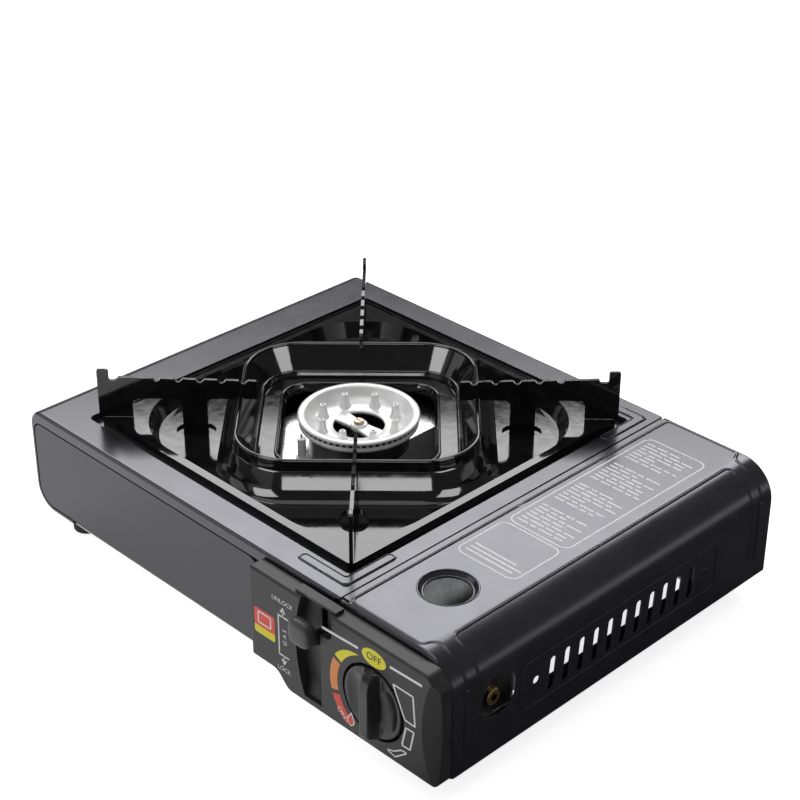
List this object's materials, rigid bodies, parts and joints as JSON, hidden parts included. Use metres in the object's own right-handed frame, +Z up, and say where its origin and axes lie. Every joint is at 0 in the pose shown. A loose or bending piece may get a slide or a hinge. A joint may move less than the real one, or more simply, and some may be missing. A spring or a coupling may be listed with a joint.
{
  "type": "butane cassette stove",
  "caption": "Portable cassette gas stove with one burner, a square drip pan with raised pot supports, a hinged lid over the gas cartridge bay, a lock lever and a rotary knob.",
  "frame": {"origin": "on the table under the middle of the whole stove's footprint", "axes": "+X towards the cartridge bay, +Z up, controls on the -Y side"},
  "size_m": [0.345, 0.2762, 0.1117],
  "materials": {
    "case_paint": "semi-gloss black paint",
    "zinc_steel": "galvanised sheet",
    "pan_enamel": "gloss black enamel",
    "cast_alloy": "as cast",
    "cup_steel": "dark steel",
    "bright_steel": "plated",
    "brass_parts": "turned",
    "panel_plastic": "matte black",
    "knob_plastic": "gloss black",
    "foot_rubber": "matt",
    "ceramic_white": "glazed"
  },
  "bodies": {
    "housing": {"back_panel": "case_paint", "base_tray": "zinc_steel", "bridge_rivets": "bright_steel", "burner_bridge": "zinc_steel", "burner_cup": "cup_steel", "burner_head": "cast_alloy", "burner_screw": "brass_parts", "canister_connector": "brass_parts", "canister_cradle": "zinc_steel", "connector_seal": "foot_rubber", "control_panel": "panel_plastic", "electrode_insulator": "ceramic_white", "electrode_tip": "bright_steel", "foot_back_left": "foot_rubber", "foot_back_right": "foot_rubber", "foot_front_left": "foot_rubber", "foot_front_right": "foot_rubber", "front_panel": "case_paint", "gas_inlet": "brass_parts", "gas_nozzle": "brass_parts", "heat_plate": "cast_alloy", "igniter_body": "panel_plastic", "igniter_wire": "foot_rubber", "lever_pivot": "bright_steel", "mixing_tube": "cup_steel", "panel_screws": "bright_steel", "partition_wall": "zinc_steel", "regulator_body": "cast_alloy", "regulator_screws": "bright_steel", "top_casing": "case_paint"},
    "lid": {"canister_lid": "case_paint", "hinge_pin_front": "bright_steel", "hinge_pin_back": "bright_steel"},
    "pan_set": {"drip_pan": "pan_enamel", "pot_support_back_left": "pan_enamel", "pot_support_back_right": "pan_enamel", "pot_support_front_left": "pan_enamel", "pot_support_front_right": "pan_enamel"},
    "knob_set": {"knob": "knob_plastic", "valve_spindle": "brass_parts", "igniter_cam": "panel_plastic"},
    "plunger": {"igniter_plunger": "bright_steel"},
    "lever": {"lock_lever": "zinc_steel", "lever_cap": "panel_plastic"},
    "carriage": {"clamp_carriage": "zinc_steel"}
  },
  "joints": [
    {"name": "lid_hinge", "type": "hinge", "parent": "housing", "child": "lid", "pos_m": [0.0951, 0.0095, 0.0778], "axis": [0, -1, 0], "range_deg": [0, 95]},
    {"name": "pan_lift", "type": "slide", "parent": "housing", "child": "pan_set", "axis": [0, 0, 1], "range_m": [0, 0.04]},
    {"name": "knob_turn", "type": "hinge", "parent": "housing", "child": "knob_set", "pos_m": [0.1271, -0.112, 0.0399], "axis": [0, -1, 0], "range_deg": [0, 135]},
    {"name": "plunger_slide", "type": "slide", "parent": "housing", "child": "plunger", "axis": [-1, 0, 0], "range_m": [0, 0.004]},
    {"name": "lever_swing", "type": "hinge", "parent": "housing", "child": "lever", "pos_m": [0.0865, -0.0945, 0.046], "axis": [1, 0, 0], "range_deg": [0, 39]},
    {"name": "carriage_slide", "type": "slide", "parent": "housing", "child": "carriage", "axis": [0, -1, 0], "range_m": [0, 0.00668]}
  ],
  "couplings": [
    {"joint": "plunger_slide", "follows": "knob_turn", "m_per_rad": 0.0016976},
    {"joint": "carriage_slide", "follows": "lever_swing", "m_per_rad": 0.009808}
  ]
}
